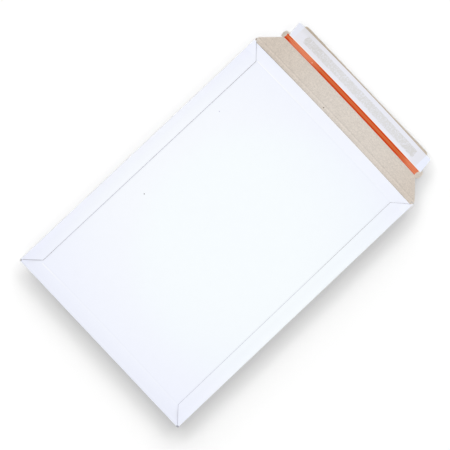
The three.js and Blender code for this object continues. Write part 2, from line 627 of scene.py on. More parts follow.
@dataclass(frozen=True)
class Places:
    """Main places of the envelope in millimetres, read from the frame."""

    side: float
    bottom: float
    mouth: float
    tip: float
    glue_top: float
    first_crease: float
    second_crease: float
    spine_half: float
    board: float

    def across(self, x: float) -> float:
        """Place along X as a share of half the envelope's width."""
        return x / self.side

    @classmethod
    def of_frame(cls, frame: dict[str, Any], mouth_to_crease: float = 0.6) -> Places:
        """Reads the places from the loaded frame.

        Args:
            mouth_to_crease: How far the cover's mouth ends before the first crease.

        Returns:
            The places.
        """
        low, high = (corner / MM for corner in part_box("pocket_board"))
        spine_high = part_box("flap_spine")[1] / MM
        creases = {joint["name"]: joint["pos_m"][1] / MM for joint in frame["joints"]}
        return cls(
            side=high.x,
            bottom=low.y,
            mouth=creases["spine_crease"] - mouth_to_crease,
            tip=high.y,
            glue_top=high.z,
            first_crease=creases["spine_crease"],
            second_crease=creases["flap_crease"],
            spine_half=spine_high.x,
            board=spine_high.z,
        )


@dataclass(frozen=True)
class Bow:
    """Slight curve along Y of a line that should be straight across the envelope."""

    middle: float
    sag: float
    tilt: float

    def shift(self, across: float) -> float:
        """Shift along Y at a share of the half width."""
        return self.middle - self.sag * across**2 + self.tilt * across

    def straighten(self, shader: Shader, half_width: float) -> Wire:
        """Place along Y with the curve taken out.

        Args:
            shader: The shader that needs it.
            half_width: Half of the envelope's width.

        Returns:
            The straightened place in millimetres.
        """
        across = shader.x / half_width
        return shader.y - (self.middle - self.sag * across * across + self.tilt * across)


MOUTH_BOW = Bow(middle=0.35, sag=1.39, tilt=0.31)
CREASE_BOW = Bow(middle=0.0, sag=1.1, tilt=0.4)
STRIP_BOW = Bow(middle=0.44, sag=1.2, tilt=0.0)
TAPE_LOW_BOW = Bow(middle=0.03, sag=1.2, tilt=0.05)
TAPE_HIGH_BOW = Bow(middle=0.62, sag=1.22, tilt=0.32)
LINER_LOW_BOW = Bow(middle=-0.06, sag=1.5, tilt=0.39)
LINER_HIGH_BOW = Bow(middle=0.72, sag=2.15, tilt=0.35)


@dataclass(frozen=True)
class Oval:
    """Soft oval spot on a board, by its centre and reach along X and Y."""

    centre: Span
    reach: Span
    start: float
    end: float

    def outside(self, shader: Shader) -> Wire:
        """Mask that rises from 0 in the spot to 1 round it.

        Args:
            shader: The shader that needs it.

        Returns:
            The mask.
        """
        off_x = (shader.x - self.centre[0]) / self.reach[0]
        off_y = (shader.y - self.centre[1]) / self.reach[1]
        return ((off_x * off_x + off_y * off_y) ** 0.5).rise(self.start, self.end)


@dataclass(frozen=True)
class CreaseShadingLine:
    """Painted highlight, with a positive gain, or painted shade, with a negative one, along a line pressed
    into the board along X, partly the tone of its crushed fibres: its place along Y, width, soft edge and
    gain in lightness.
    """

    place: float
    half: float
    soft: float
    gain: float

    def lightness(self, y: Wire) -> Wire:
        """How much lighter the board is, at a place along Y."""
        return y.band(self.place, self.half, self.soft) * self.gain


@dataclass(frozen=True)
class WhiteCoat:
    """White coated outside of the board: bluish, with faint fibres, and painted light and shade: a painted
    pool of light, brighter and a little greener in the middle and darker and bluer towards the ends and the
    left strip, painted light on the sloped strips, folds and mouth edge, painted shade on the bottom strip,
    painted highlights and shades along the pressed lines, and painted shadows at two corners.
    """

    places: Places
    score: float
    crest: float
    side_crest: float
    # painted shade: the darker, bluer tone towards the panel's ends and on its left strip
    painted_edge_lighting_tone: Colour = linear(232.0, 234.9, 254.6)
    cool_tone: Colour = linear(247.0, 249.9, 254.8)
    green_tone: Colour = linear(247.0, 252.0, 254.8)
    # painted highlight of the pressed lines
    pressed_highlight_tone: Colour = linear(254, 254.8, 255)
    # painted light on the rounded folds and on the mouth's edge
    fold_light_tone: Colour = WHITE
    # painted pool of light: brighter in the middle, fading to the darker tone towards the ends
    painted_light_pool: Oval = Oval(centre=(-4.7, -11.3), reach=(211.6, 165.0), start=0.3, end=1.97)
    green_spot: Oval = Oval(centre=(51.8, -5.9), reach=(127.8, 130.0), start=0.85, end=1.17)
    specks_and_shadows: tuple[Speck, ...] = (
        Speck(linear(96, 88, 80), x=-79.0, y=-50.8, radius=0.85, lowest=3.0),
        Speck(linear(205, 205, 226), x=-87.8, y=62.5, radius=0.9, lowest=3.0),
        # painted shadow in the open corner of the bottom fold
        Speck(linear(72, 72, 98), x=116.1, y=-188.7, radius=2.5, lowest=0.7),
        # painted brownish shade at the left tip beside the mouth
        Speck(linear(168, 151, 133), x=-115.9, y=141.6, radius=2.1),
    )
    fibres: Grain = Grain(0.8, detail=3, roughness=0.65)
    clouds: Grain = Grain(0.12, detail=3)
    fibre_sway: float = 0.02
    cloud_sway: float = 0.016
    seam: Fade = Fade(98.0, 98.6)
    line_half: float = 0.3
    line_soft: float = 0.5
    light_line: float = 0.9
    dark_line: float = 0.02
    faint_line: float = 0.12
    score_light: float = 0.75
    score_dark: float = -0.65
    score_left: Fade = Fade(-80.0, 10.0, 0.7)
    crest_light: float = -0.35
    crest_dark: float = 1.15
    crest_left: Fade = Fade(-98.0, -60.0, 0.45)
    bottom_shade: float = 0.022
    before_crest: float = 3.0
    before_side: float = 2.0
    # painted shade on the left strip
    left_painted_shade: float = 0.17
    # painted light on the sloped right strip and on the sloping mouth strip
    right_painted_light: float = 0.02
    mouth_painted_light: Fade = Fade(0.0, 1.5, 0.024)
    fold_low: Fade = Fade(0.6, 1.2)
    fold_high: Fade = Fade(1.8, 2.9, 0.8)
    fold_end: Fade = Fade(0.0, 4.0)
    mouth_edge: Fade = Fade(-1.6, -0.8, 0.6)
    relief: float = 0.006

    def tone(self, shader: Shader) -> Wire:
        """Broad tone of the coat: a painted pool of light, brighter and a little greener in the middle,
        darker and bluer towards the ends.
        """
        bright = shader.mix(self.green_tone, self.cool_tone, self.green_spot.outside(shader))
        return shader.mix(bright, self.painted_edge_lighting_tone, self.painted_light_pool.outside(shader))

    def pressed_line_shading(self, shader: Shader) -> tuple[Wire, Wire]:
        """Draws the painted highlights and shades of the lines pressed along mouth and bottom, between the
        two seams.

        Args:
            shader: The shader that needs them.

        Returns:
            The masks of the light and of the dark lines.
        """
        between = self.seam.fall(abs(shader.x))
        y = CREASE_BOW.straighten(shader, self.places.side)
        score_fade = self.faint_line + self.score_left.fall(shader.x)
        crest_fade = self.faint_line + self.crest_left.fall(shader.x)

        def line(place: float) -> Wire:
            """Mask of one line between the seams."""
            return y.band(place, self.line_half, self.line_soft) * between

        score_light = line(self.score + self.score_light) * score_fade
        crest_light = line(self.crest + self.crest_light) * crest_fade
        dark = line(self.score + self.score_dark) + line(self.crest + self.crest_dark)
        return (score_light + crest_light) * self.light_line, dark * self.dark_line

    def painted_fold_light(self, shader: Shader) -> Wire:
        """Mask of the painted light on the rounded sides and the painted highlight on the mouth's edge.

        Args:
            shader: The shader that needs it.

        Returns:
            The mask.
        """
        height = self.fold_low.rise(shader.z) * self.fold_high.fall(shader.z)
        along = self.fold_end.fall(shader.y, self.score) + self.mouth_edge.rise(shader.y, self.places.mouth)
        return height * along

    def material(self) -> bpy.types.Material:
        """Makes the material.

        Returns:
            The material.
        """
        shader = Shader("white_coat")
        fibres = shader.noise(self.fibres)
        level = 1 + fibres.sway(self.fibre_sway) + shader.noise(self.clouds).sway(self.cloud_sway)
        shade = shader.y.fall(self.places.bottom, self.crest) * self.bottom_shade
        inner, outer = self.side_crest - self.before_crest, self.places.side - self.before_side
        # painted light on the sloped right and mouth strips
        painted_slope_light = shader.x.rise(inner, outer) * self.right_painted_light + self.mouth_painted_light.rise(shader.y, self.score)
        # painted shade on the left strip
        left = shader.x.fall(-outer, -inner) * self.left_painted_shade
        light, dark = self.pressed_line_shading(shader)
        # painted pool of light, with painted shade on the left strip
        colour = shader.mix(self.tone(shader), self.painted_edge_lighting_tone, left)
        # painted shade of the pressed lines and of the bottom strip, painted light on the slopes
        colour = shader.dim(colour, level - dark - shade + painted_slope_light)
        # painted highlights of the pressed lines
        colour = shader.mix(colour, self.pressed_highlight_tone, light)
        # painted light on the folds and the mouth's edge
        colour = shader.mix(colour, self.fold_light_tone, self.painted_fold_light(shader))
        for speck in self.specks_and_shadows:
            colour = shader.mark(colour, speck)
        return shader.done(
            colour, Normal=shader.bump(fibres, self.relief), Roughness=0.55, Specular_IOR_Level=0.3
        )


@dataclass(frozen=True)
class BareBoard:
    """Uncoated grey-beige inside of the board: fibres, flecks, painted highlights and shades at the pressed
    creases, partly the crushed fibres' tone, painted light near the mouth, a painted shadow under the mouth's
    edge and a darker rim.
    """

    places: Places
    middle_tone: Colour = linear(218.0, 209.3, 200.0)
    end_tone: Colour = linear(210.5, 199.0, 187.0)
    rim_tone: Colour = linear(191, 177, 158)
    right_rim_tone: Colour = linear(198, 186, 170)
    fleck_tone: Colour = linear(150, 133, 115)
    speck: Speck = Speck(linear(92, 78, 66), x=-17.8, y=143.3, radius=0.9)
    fibres: Grain = Grain(0.85, detail=4, roughness=0.7)
    strands: Grain = Grain(0.4, detail=3, stretch=(0.35, 1.6, 1.0))
    clouds: Grain = Grain(0.09)
    flecks: Grain = Grain(0.55, roughness=0.8)
    fibre_sway: float = 0.72
    strand_sway: float = 0.16
    cloud_sway: float = 0.05
    fleck_start: Fade = Fade(0.69, 0.78, 0.4)
    bright_x: float = 14.0
    off_bright: Fade = Fade(25.0, 120.0)
    rim: Fade = Fade(185.2, 187.0)
    rim_sides: Fade = Fade(-60.0, 20.0)
    # painted highlight and shades of the pressed creases, partly the crushed fibres' tone
    crease_shading_lines: tuple[CreaseShadingLine, ...] = (
        CreaseShadingLine(144.5, half=0.35, soft=0.8, gain=0.065),
        CreaseShadingLine(145.95, half=0.25, soft=0.6, gain=-0.085),
        CreaseShadingLine(143.0, half=0.2, soft=0.6, gain=-0.02),
    )
    # painted light near the mouth
    painted_light_near_mouth: Fade = Fade(142.0, 145.0, 0.04)
    # painted shadow under the mouth's edge, on the left
    painted_mouth_shadow: Fade = Fade(0.2, 1.3, 0.17)
    mouth_shadow_left: Fade = Fade(-95.0, -40.0)
    ear_x: Fade = Fade(98.4, 99.4)
    ear_y: Fade = Fade(160.5, 162.5)
    ear_shade: float = 0.04
    ear_left: Fade = Fade(-10.0, 10.0, 0.06)
    relief: float = 0.03

    def creases(self, shader: Shader) -> Wire:
        """Works out the painted highlights and shades of the pressed creases, the painted light near the
        mouth and the painted shadow under the mouth's edge.

        Args:
            shader: The shader that needs it.

        Returns:
            What is added to the board's level.
        """
        y = CREASE_BOW.straighten(shader, self.places.side)
        # painted light near the mouth
        lightness = self.painted_light_near_mouth.fall(y)
        # painted highlight and shades of the creases
        for line in self.crease_shading_lines:
            lightness = lightness + line.lightness(y)
        # painted shadow under the mouth's edge, on the left
        mouth_y = MOUTH_BOW.straighten(shader, self.places.side)
        mouth_shadow = self.painted_mouth_shadow.fall(mouth_y, self.places.mouth) * self.mouth_shadow_left.fall(shader.x)
        return lightness - mouth_shadow

    def material(self) -> bpy.types.Material:
        """Makes the material.

        Returns:
            The material.
        """
        shader = Shader("bare_board")
        fibres = shader.noise(self.fibres)
        strands = shader.noise(self.strands)
        level = 1 + fibres.sway(self.fibre_sway) + strands.sway(self.strand_sway)
        level = level + shader.noise(self.clouds).sway(self.cloud_sway)
        off_bright = self.off_bright.rise(abs(shader.x - self.bright_x))
        colour = shader.mix(self.middle_tone, self.end_tone, off_bright)
        rim = shader.mix(self.rim_tone, self.right_rim_tone, self.rim_sides.rise(shader.x))
        colour = shader.mix(colour, rim, self.rim.rise(shader.y))
        ears = self.ear_x.rise(abs(shader.x)) * self.ear_y.rise(shader.y)
        ear_shade = ears * (self.ear_shade + self.ear_left.fall(shader.x))
        # painted light and shade of the creases and the mouth
        colour = shader.dim(colour, level + self.creases(shader) - ear_shade)
        colour = shader.mix(colour, self.fleck_tone, self.fleck_start.rise(shader.noise(self.flecks)))
        colour = shader.mark(colour, self.speck)
        return shader.done(
            colour, Normal=shader.bump(fibres, self.relief), Roughness=0.9, Specular_IOR_Level=0.2
        )


@dataclass(frozen=True)
class CutCore:
    """Grey core of the board where it is cut, flecked on the left seam, with painted shade that darkens the
    left seam, which faces away from the light, and painted light that makes the right seam and the left tip
    paler.
    """

    # painted shade on the left seam, which faces away from the light; painted light on the right seam
    shaded_left_tone: Colour = linear(142, 141, 158)
    left_end_tone: Colour = linear(118, 115, 118)
    lit_right_tone: Colour = linear(180, 181, 194)
    right_upper_tone: Colour = linear(156, 154, 156)
    fleck_tone: Colour = linear(74, 60, 46)
    fibres: Grain = Grain(0.45, detail=3)
    flecks: Grain = Grain(0.16, roughness=0.8)
    fibre_sway: float = 0.32
    fleck_start: Fade = Fade(0.56, 0.66, 0.8)
    left_top: Fade = Fade(60.0, 105.0)
    left_bottom: Fade = Fade(-165.0, -130.0)
    right_top: Fade = Fade(-5.0, 45.0)
    sides: Fade = Fade(-60.0, 60.0)
    left_tip: Fade = Fade(-116.0, -113.5, 0.9)

    def material(self) -> bpy.types.Material:
        """Makes the material.

        Returns:
            The material.
        """
        shader = Shader("cut_core")
        left_ends = self.left_top.rise(shader.y) + self.left_bottom.fall(shader.y)
        left = shader.mix(self.shaded_left_tone, self.left_end_tone, left_ends)
        right = shader.mix(self.lit_right_tone, self.right_upper_tone, self.right_top.rise(shader.y))
        # painted light: towards the lit right seam, and at the left tip
        pale = self.sides.rise(shader.x) + self.left_tip.fall(shader.x)
        colour = shader.mix(left, right, pale)
        colour = shader.dim(colour, 1 + shader.noise(self.fibres).sway(self.fibre_sway))
        flecks = self.fleck_start.rise(shader.noise(self.flecks)) * self.sides.fall(shader.x)
        colour = shader.mix(colour, self.fleck_tone, flecks)
        return shader.done(colour, Roughness=0.95, Specular_IOR_Level=0.1)


@dataclass(frozen=True)
class OrangeFilm:
    """Orange-red film of the tear tape, darker along its edges, with a painted sheen on streaky stretches
    near its ends and a painted glint.
    """

    places: Places
    centre: float = 167.05
    middle_tone: Colour = linear(210, 103, 54)
    low_edge_tone: Colour = linear(203, 61, 0)
    high_edge_tone: Colour = linear(211, 66, 0)
    # painted sheen
    sheen_tone: Colour = linear(229, 134, 96)
    glint: Speck = Speck(linear(245, 205, 185), x=-59.3, y=166.3, radius=0.7)
    streaks: Grain = Grain(0.3, detail=3, stretch=(0.3, 2.5, 1.0))
    streak_sway: float = 0.2
    edge: Fade = Fade(0.8, 1.8)
    # where the painted sheen lies
    waver: float = 24.0
    left_start: Fade = Fade(-96.0, -84.0)
    left_end: Fade = Fade(-66.0, -46.0, 0.82)
    right_start: Fade = Fade(66.0, 88.0, 0.8)
    sheen_level: float = 0.55
    sheen_streaks: float = 0.9
    sheen_half: Fade = Fade(2.0, 3.2)
    relief: float = 0.03

    def sheen_patches(self, shader: Shader, streaks: Wire, off_centre: Wire) -> Wire:
        """Finds where the painted sheen lies: two streaky stretches near its ends.

        Args:
            shader: The shader that needs it.
            streaks: The film's streaks.
            off_centre: Way from the film's middle line.

        Returns:
            The mask.
        """
        wavy = shader.x + streaks.sway(self.waver)
        along = self.left_start.rise(wavy) * self.left_end.fall(wavy) + self.right_start.rise(wavy)
        patchy = self.sheen_level + self.sheen_streaks * streaks
        return along * patchy * self.sheen_half.fall(abs(off_centre))

    def material(self) -> bpy.types.Material:
        """Makes the material.

        Returns:
            The material.
        """
        shader = Shader("orange_film")
        off_centre = STRIP_BOW.straighten(shader, self.places.side) - self.centre
        streaks = shader.noise(self.streaks)
        colour = shader.mix(self.middle_tone, self.low_edge_tone, self.edge.rise(0 - off_centre))
        colour = shader.mix(colour, self.high_edge_tone, self.edge.rise(off_centre))
        # painted sheen
        colour = shader.mix(colour, self.sheen_tone, self.sheen_patches(shader, streaks, off_centre))
        colour = shader.dim(colour, 1 + streaks.sway(self.streak_sway))
        colour = shader.mark(colour, self.glint)
        return shader.done(
            colour, Normal=shader.bump(streaks, self.relief), Roughness=0.4, Specular_IOR_Level=0.1
        )


@dataclass(frozen=True)
class ClearGlue:
    """Tacky glue line under the liner."""

    tone: Colour = linear(222, 221, 216)
    clouds: Grain = Grain(0.4, detail=3)
    cloud_sway: float = 0.2
    relief: float = 0.02

    def material(self) -> bpy.types.Material:
        """Makes the material.

        Returns:
            The material.
        """
        shader = Shader("clear_glue")
        clouds = shader.noise(self.clouds)
        colour = shader.dim(self.tone, 1 + clouds.sway(self.cloud_sway))
        return shader.done(colour, Normal=shader.bump(clouds, self.relief), Roughness=0.3)


@dataclass(frozen=True)
class LinerPaper:
    """Translucent siliconed paper: the glue line shows through it, its overhanging ends are whiter, and a
    painted highlight runs along its lower edge.
    """

    places: Places
    board_tone: Colour = linear(233.8, 234.8, 244.3)
    glue_tone: Colour = linear(218.5, 218.0, 218.3)
    left_glue: Colour = linear(212.0, 210.0, 209.0)
    left_board: Colour = linear(231.5, 231.2, 238.5)
    grey_board: Colour = linear(224.5, 224.0, 229.0)
    left_hang: Colour = linear(231.5, 234, 245)
    right_hang: Colour = linear(235.5, 240.5, 255)
    # painted highlight along the liner's lower edge
    painted_edge_lighting_tone: Colour = linear(246, 247, 253)
    film_tone: Colour = linear(238, 214, 140)
    fibres: Grain = Grain(0.7, detail=3)
    mottle: Grain = Grain(0.34, detail=4, roughness=0.7)
    grain: Grain = Grain(0.8, detail=3, roughness=0.7)
    fibre_sway: float = 0.03
    end_blotch: float = 6.0
    end_soft: float = 0.8
    edge_blotch: float = 1.5
    edge_soft: float = 0.6
    glue_level: float = 0.85
    grain_sway: float = 5.0
    mottle_sway: float = 1.2
    glue_y: Span = (174.2, 182.7)
    glue_left: Fade = Fade(-75.0, -25.0)
    glue_right: Fade = Fade(50.0, 80.0, 0.7)
    board_left: Fade = Fade(-70.0, -20.0)
    grey_left: Fade = Fade(-88.0, -48.0)
    grey_high: Fade = Fade(179.0, 184.0)
    grey_right: Fade = Fade(76.0, 84.0, 0.35)
    hang_left: Fade = Fade(-91.4, -90.4)
    hang_right: Fade = Fade(89.6, 90.6)
    edge_highlight: Fade = Fade(170.8, 171.6, 0.9)
    film_line: Fade = Fade(170.3, 170.8, 0.7)
    relief: float = 0.01

    def glue_mask(self, shader: Shader, y: Wire) -> Wire:
        """Finds where the glue line shows, with blotchy ends and a mottled middle.

        Args:
            shader: The shader that needs it.
            y: Straightened place along Y.

        Returns:
            The mask.
        """
        mottle = shader.noise(self.mottle)
        along = (shader.x + mottle.sway(self.end_blotch)).within(GLUE_ENDS, self.end_soft)
        across = (y + mottle.sway(self.edge_blotch)).within(self.glue_y, self.edge_soft)
        grain = shader.noise(self.grain).sway(self.grain_sway)
        return along * across * (self.glue_level + grain + mottle.sway(self.mottle_sway))

    def material(self) -> bpy.types.Material:
        """Makes the material.

        Returns:
            The material.
        """
        shader = Shader("liner_paper")
        fibres = shader.noise(self.fibres)
        x = shader.x
        y = STRIP_BOW.straighten(shader, self.places.side)
        low_y = LINER_LOW_BOW.straighten(shader, self.places.side)
        middle_glue = self.glue_left.rise(x) * (1 - self.glue_right.rise(x))
        glue = shader.mix(self.left_glue, self.glue_tone, middle_glue)
        colour: Value = self.left_board
        for tone, share in (
            (self.board_tone, self.board_left.rise(x)),
            (self.grey_board, self.grey_left.fall(x) * self.grey_high.rise(y)),
            (self.grey_board, self.grey_right.rise(x)),
            (glue, self.glue_mask(shader, y)),
            (self.left_hang, self.hang_left.fall(x)),
            (self.right_hang, self.hang_right.rise(x)),
            # painted highlight along the lower edge
            (self.painted_edge_lighting_tone, self.edge_highlight.fall(low_y)),
            (self.film_tone, self.film_line.fall(low_y)),
        ):
            colour = shader.mix(colour, tone, share)
        colour = shader.dim(colour, 1 + fibres.sway(self.fibre_sway))
        return shader.done(
            colour, Normal=shader.bump(fibres, self.relief), Roughness=0.45, Specular_IOR_Level=0.3
        )


def rise_angle(run: float, rise: float, radius: float) -> float:
    """Slope of a panel that leaves a fold and rises to a crest.

    Args:
        run: Way from the fold's centre to the crest.
        rise: Height of the crest over the fold's centre.
        radius: Radius of the fold.

    Returns:
        The slope in radians.
    """
    return math.acos(radius / math.hypot(run, rise)) - math.atan2(run, rise)


@dataclass(frozen=True)
class GlueFlapCut:
    """How one glue flap was cut: insets of its inner edge, and place and slope of its two slanted ends."""

    side: Side
    low_inset: float
    high_inset: float
    low_y: float
    low_slope: float
    high_y: float
    high_slope: float


@dataclass
class PocketSheet:
    """Base, bottom fold, cover, side folds and glue flaps, folded from one sheet."""

    places: Places
    fold: float = 1.5
    side_run: float = 9.5
    bottom_run: float = 16.4
    glue_bond: float = 0.05
    glue_flap: float = 16.7
    tip_width: float = 2.8
    score_inset: float = 13.5
    score_width: float = 1.2
    score_depth: float = 0.12
    mouth_height: float = 0.3
    low_share: float = 0.75
    over_cover: float = 0.2
    corner_reach: float = 1.1
    cut_from_side: float = 12.0
    left_cut: GlueFlapCut = GlueFlapCut(
        Side.LEFT,
        low_inset=0.15,
        high_inset=1.1,
        low_y=-176.1,
        low_slope=1.17,
        high_y=130.7,
        high_slope=1.05,
    )
    right_cut: GlueFlapCut = GlueFlapCut(
        Side.RIGHT,
        low_inset=0.3,
        high_inset=1.2,
        low_y=-177.3,
        low_slope=1.1,
        high_y=131.1,
        high_slope=0.915,
    )
    left_seam_bevel: float = 0.3
    right_seam_bevel: float = 0.28
    mouth_bevel: float = 0.2
    rim_depth: float = 2.0
    rim_near: float = 0.2
    seam_lowest: float = 1.0
    base_under_cover: float = 0.7
    arc_steps: int = 12
    columns: int = 16

    def __post_init__(self) -> None:
        """Works out the places of the folds and crests."""
        p = self.places
        inner = self.fold - p.board
        self.cover_top = p.glue_top - p.board + self.glue_bond
        self.fold_x = p.side - self.fold
        self.fold_y = p.bottom + self.fold
        glue_under = p.glue_top - p.board
        cover_under = self.cover_top - p.board
        crest_x = p.side - self.side_run
        self.side_angle = rise_angle(self.fold_x - crest_x, glue_under - self.fold, inner)
        self.bottom_angle = rise_angle(self.bottom_run - self.fold, cover_under - self.fold, inner)
        self.cover_crest = crest_x + self.glue_bond * math.tan(self.side_angle / 2)
        self.glue_crest = crest_x + p.board * math.tan(self.side_angle / 2)
        self.bottom_crest = p.bottom + self.bottom_run - p.board * math.tan(self.bottom_angle / 2)
        self.notch_x = p.side - self.tip_width
        self.score = p.mouth - self.score_inset
        self.base_end = p.mouth - self.base_under_cover
        self.mouth_top = self.cover_top * self.mouth_height

    def lift(self, y: float) -> float:
        """Share of its full height that the pocket has at a place along Y: the empty mouth lies low."""
        share = (y - self.score) / (self.places.mouth - self.score)
        return 1 - (1 - self.mouth_height) * min(1.0, max(0.0, share))

    def fold_cover(self, bench: Bench) -> None:
        """Slopes the cover down to its sides and to the bottom fold, and turns it under into the base.

        Args:
            bench: The bench with the level cover.
        """
        slope = math.tan(self.side_angle)
        for side in Side:
            bench.pick(at(x=side.value * self.cover_crest), Pick.EDGES)
            for run in (self.notch_x - self.cover_crest, self.fold_x - self.notch_x):
                bench.extrude((side.value * run, 0, -run * slope))
        tangent_y = self.fold_y - self.fold * math.sin(self.bottom_angle)
        tangent_z = self.fold + self.fold * math.cos(self.bottom_angle)
        bench.pick(at(y=self.bottom_crest), Pick.EDGES)
        bench.extrude((0, tangent_y - self.bottom_crest, tangent_z - self.cover_top))
        bench.squeeze((1, 1, 0), (0, 0, tangent_z))
        for side in Side:
            top = Vector((side.value * self.cover_crest, self.bottom_crest, self.cover_top))
            foot = Vector((side.value * self.notch_x, tangent_y, tangent_z))
            bench.pick(lambda point: min((point - top).length, (point - foot).length) < NEAR)
            bench.connect()
        bench.pick(at(y=tangent_y, z=tangent_z), Pick.EDGES)
        turn = 180 - math.degrees(self.bottom_angle)
        bench.spin(-turn, (0, self.fold_y, self.fold), (1, 0, 0), self.arc_steps)
        bench.extrude((0, self.base_end - self.fold_y, 0))
        end_line = at(y=self.base_end, z=0)
        bench.pick(lambda point: end_line(point) and abs(point.x) > self.notch_x - NEAR, Pick.EDGES)
        bench.extrude((0, self.places.tip - self.base_end, 0))

    def fold_sides(self, bench: Bench) -> None:
        """Turns the base up round its long sides and lays the glue flaps on the cover.

        Args:
            bench: The bench with cover and base.
        """
        p = self.places
        turn = 180 - math.degrees(self.side_angle)
        leave_x = self.fold_x + self.fold * math.sin(self.side_angle)
        leave_z = self.fold + self.fold * math.cos(self.side_angle)
        inner_x = p.side - self.glue_flap
        for cut in (self.left_cut, self.right_cut):
            sign = cut.side.value
            bench.pick(at(x=sign * self.fold_x, z=0), Pick.EDGES, border=True)
            bench.spin(sign * turn, (sign * self.fold_x, 0, self.fold), (0, 1, 0), self.arc_steps)
            bench.extrude((sign * (self.glue_crest - leave_x), 0, p.glue_top - leave_z))
            bench.extrude((sign * (inner_x - self.glue_crest), 0, 0))
            for y, inset in (
                (self.fold_y, cut.low_inset),
                (self.base_end, cut.high_inset),
                (p.tip, cut.high_inset),
            ):
                bench.pick(at(x=sign * inner_x, y=y, z=p.glue_top))
                bench.move((-sign * inset, 0, 0))
        low_end = at(y=self.fold_y)

        def on_corner(point: Vector) -> bool:
            """Whether a point is on the low end of a side fold or a glue flap."""
            return low_end(point) and (abs(point.x) > self.fold_x + NEAR or point.z > self.fold)

        bench.pick(on_corner)
        bench.move((0, -self.corner_reach, 0))

    def press_mouth(self, bench: Bench) -> None:
        """Presses the line along the mouth and lets the empty mouth sink from there.

        Args:
            bench: The bench with the folded sheet.
        """
        p = self.places
        half = self.score_width / 2
        for row in (self.score - half, self.score, self.score + half, p.mouth):
            bench.bisect_all((0, row, 0), (0, 1, 0))
        low_part = self.cover_top * self.low_share
        for row in (self.score + half, self.base_end, p.mouth, p.tip):
            lift = self.lift(row)
            bench.pick(lambda point: at(y=row)(point) and NEAR < point.z <= low_part)
            bench.squeeze((1, 1, lift))
            bench.pick(lambda point: at(y=row)(point) and point.z > low_part)
            bench.move((0, 0, -self.cover_top * (1 - lift)))
        bench.pick(at(y=self.score, z=self.cover_top))
        bench.move((0, 0, -self.score_depth))

    def bow_mouth(self, bench: Bench) -> None:
        """Gives the cover's mouth edge its slight bow.

        Args:
            bench: The bench with the pressed sheet.
        """
        p = self.places
        columns = [self.cover_crest * (2 * column / self.columns - 1) for column in range(1, self.columns)]
        for x in columns:
            bench.pick(lambda point: point.y > self.score and point.z > self.mouth_top - NEAR, Pick.FACES)
            bench.bisect((x, 0, 0), (1, 0, 0))
        for x in columns:
            bench.pick(at(x=x, y=p.mouth, z=self.mouth_top))
            bench.move((0, MOUTH_BOW.shift(p.across(x)), 0))
        for half in (self.cover_crest, self.notch_x, self.fold_x):
            for x in (-half, half):
                mouth_end = at(x=x, y=p.mouth)
                bench.pick(lambda point: mouth_end(point) and NEAR < point.z < self.mouth_top + NEAR)
                bench.move((0, MOUTH_BOW.shift(p.across(x)), 0))

    def cut_glue_flaps(self, bench: Bench) -> None:
        """Cuts off the slanted ends of the glue flaps.

        Args:
            bench: The bench with the bowed sheet.
        """

        def on_flap(point: Vector) -> bool:
            """Whether a point is on a glue flap or on the upper half of its fold."""
            on_fold = abs(point.x) > self.fold_x + NEAR and point.z > self.fold * self.lift(point.y) - NEAR
            return on_fold or point.z > self.cover_top * self.lift(point.y) + self.over_cover

        for cut in (self.left_cut, self.right_cut):
            sign = cut.side.value
            x = sign * (self.places.side - self.cut_from_side)
            for y, slope, inwards in ((cut.low_y, cut.low_slope, 1), (cut.high_y, cut.high_slope, -1)):
                bench.pick(lambda point: on_flap(point) and point.x * sign > 0, Pick.FACES)
                bench.bisect((x, y, 0), (sign * slope, inwards, 0), drop_behind=True)

    def build(self, layers: Layers) -> Bench:
        """Models the sheet.

        Args:
            layers: Materials by slot.

        Returns:
            The bench with the thickened sheet.
        """
        bench = Bench(
            "pocket_sheet",
            (-self.cover_crest, self.bottom_crest, self.cover_top),
            (self.cover_crest, self.places.mouth, self.cover_top),
            layers,
        )
        self.fold_cover(bench)
        self.fold_sides(bench)
        self.press_mouth(bench)
        self.bow_mouth(bench)
        self.cut_glue_flaps(bench)
        bench.face_outwards()
        bench.thicken(self.places.board)
        return bench

    def dress(self, bench: Bench) -> None:
        """Bevels the cut edges, finishes the piece and hangs it on its body.

        Args:
            bench: The bench with the sheet.
        """
        rim_start = self.places.mouth - self.rim_depth

        def on_mouth(point: Vector) -> bool:
            """Whether a point is on the upper rim of the cover's mouth."""
            at_top = abs(point.z - self.mouth_top) < self.rim_near and point.y > rim_start
            return at_top and abs(point.x) < self.cover_crest + NEAR

        def on_seam(point: Vector, side: Side) -> bool:
            """Whether a point is on the seam of one side."""
            return point.z > self.seam_lowest and point.x * side.value > 0 and not on_mouth(point)

        for test, width in (
            (on_mouth, self.mouth_bevel),
            (lambda point: on_seam(point, Side.LEFT), self.left_seam_bevel),
            (lambda point: on_seam(point, Side.RIGHT), self.right_seam_bevel),
        ):
            bench.pick_rim(test)
            bench.bevel(width, 1, layer=Layer.CUT)
        piece = bench.finish()
        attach(piece, "pocket")
        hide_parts("pocket_board")


@dataclass(frozen=True)
class FlapRoot:
    """Slanted edges between the flap's shoulders and the pocket's tips, set a little to the left."""

    shoulder: float
    half: float
    skew: float = -0.37
    left_slant: float = 0.943
    right_slant: float = 1.0

    def reach(self, side: Side, y: float) -> float:
        """How far the slanted edge of one side is from the middle at a place along Y."""
        slant = self.left_slant if side is Side.LEFT else self.right_slant
        return self.half + side.value * self.skew + slant * (self.shoulder - y)


